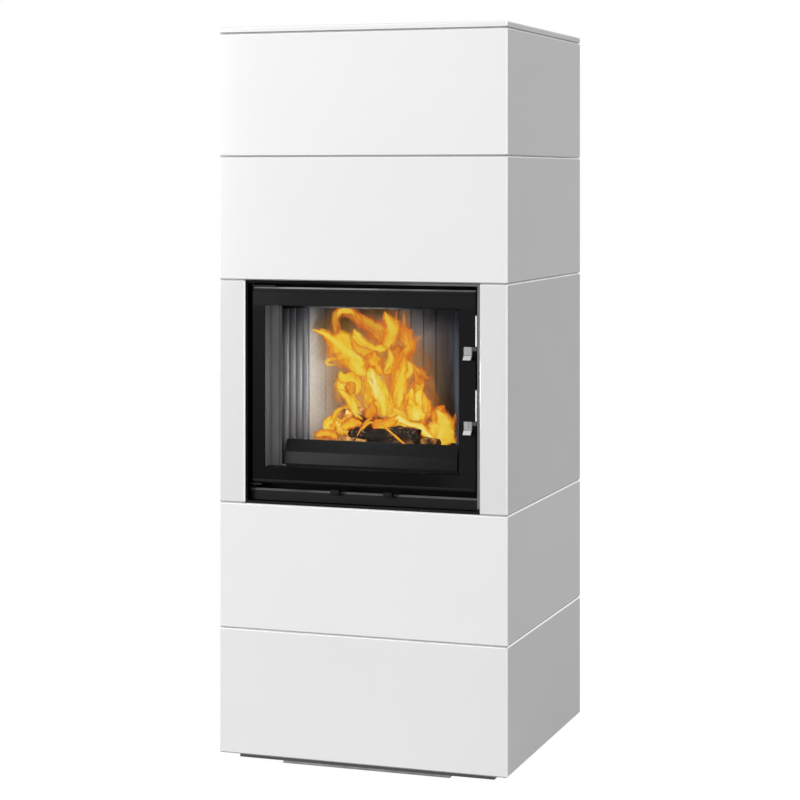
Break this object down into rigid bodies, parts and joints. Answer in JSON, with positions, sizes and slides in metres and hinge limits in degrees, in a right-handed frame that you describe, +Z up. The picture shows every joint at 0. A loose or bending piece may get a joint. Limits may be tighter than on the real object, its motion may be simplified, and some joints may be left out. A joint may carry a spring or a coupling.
{
  "type": "tiled stove",
  "caption": "Tall white tiled stove with a glazed fire door, chrome latch levers, air slides, ribbed fire chamber, heat store, rear flue socket and air inlet.",
  "frame": {"origin": "on the floor, under the middle of the bounding box, which takes in the rear flue socket", "axes": "+Z up, front with the fire door towards -Y, +X to the viewer's right"},
  "size_m": [0.654, 0.666, 1.6],
  "materials": {
    "glazed_tile": "satin white glaze",
    "base_paint": "matt black stove paint",
    "floor_steel": "grey stove paint",
    "shell_paint": "satin grey stove paint",
    "seat_paint": "matt black stove paint",
    "door_paint": "satin black stove paint",
    "door_glass": "clear heat-resistant pane with a black fired border",
    "rope_gasket": "braided glass-fibre rope",
    "latch_chrome": "bright plated steel",
    "bare_steel": "bare steel",
    "slide_black": "black paint",
    "ribbed_iron": "heat-greyed cast iron",
    "guard_iron": "blackened cast iron",
    "firebrick": "cream firebrick",
    "store_stone": "heat-store concrete",
    "flue_paint": "matt black stove paint"
  },
  "bodies": {
    "cabinet": {"tile_left_1": "glazed_tile", "tile_right_1": "glazed_tile", "tile_front_1": "glazed_tile", "tile_left_2": "glazed_tile", "tile_right_2": "glazed_tile", "tile_front_2": "glazed_tile", "tile_left_3": "glazed_tile", "tile_right_3": "glazed_tile", "tile_left_4": "glazed_tile", "tile_right_4": "glazed_tile", "tile_front_4": "glazed_tile", "tile_left_5": "glazed_tile", "tile_right_5": "glazed_tile", "tile_front_5": "glazed_tile", "tile_stile_left": "glazed_tile", "tile_stile_right": "glazed_tile", "top_plate": "glazed_tile", "base_plate": "base_paint", "stand_left": "base_paint", "stand_right": "base_paint", "rear_panel": "base_paint", "floor_plate": "floor_steel", "insert_floor": "shell_paint", "insert_side_left": "shell_paint", "insert_side_right": "shell_paint", "insert_top": "shell_paint", "insert_back": "shell_paint", "door_seat_left": "seat_paint", "door_seat_right": "seat_paint", "door_seat_top": "seat_paint", "door_seat_bottom": "seat_paint", "hinge_upper": "door_paint", "hinge_lower": "door_paint", "apron": "door_paint", "upper_catch": "bare_steel", "lower_catch": "bare_steel", "air_inlet_pipe": "bare_steel", "lining_left": "ribbed_iron", "lining_right": "ribbed_iron", "log_guard": "guard_iron", "lining_back": "firebrick", "hearth_slab": "firebrick", "baffle": "firebrick", "heat_block_left": "store_stone", "heat_block_right": "store_stone", "heat_block_front": "store_stone", "heat_store_cover": "store_stone", "flue_pipe": "flue_paint"},
    "door": {"door_rail_top": "door_paint", "door_rail_bottom": "door_paint", "door_stile_left": "door_paint", "door_stile_right": "door_paint", "door_glass": "door_glass", "door_gasket": "rope_gasket", "upper_latch_stud": "bare_steel", "lower_latch_stud": "bare_steel"},
    "upper_latch": {"upper_latch_lever": "latch_chrome"},
    "lower_latch": {"lower_latch_lever": "latch_chrome"},
    "primary_air": {"primary_air_slide": "slide_black"},
    "secondary_air": {"secondary_air_slide": "slide_black"}
  },
  "joints": [
    {"name": "door_swing", "type": "hinge", "parent": "cabinet", "child": "door", "pos_m": [-0.243, -0.307, 0.822], "axis": [0, 0, -1], "range_deg": [0, 100]},
    {"name": "upper_latch_lift", "type": "hinge", "parent": "door", "child": "upper_latch", "pos_m": [0.2559, -0.297, 0.975], "axis": [-1, 0, 0], "range_deg": [0, 25]},
    {"name": "lower_latch_lift", "type": "hinge", "parent": "door", "child": "lower_latch", "pos_m": [0.2559, -0.297, 0.818], "axis": [-1, 0, 0], "range_deg": [0, 25]},
    {"name": "primary_air_travel", "type": "slide", "parent": "cabinet", "child": "primary_air", "axis": [1, 0, 0], "range_m": [-0.028, 0.028]},
    {"name": "secondary_air_travel", "type": "slide", "parent": "cabinet", "child": "secondary_air", "axis": [1, 0, 0], "range_m": [-0.028, 0.028]}
  ]
}
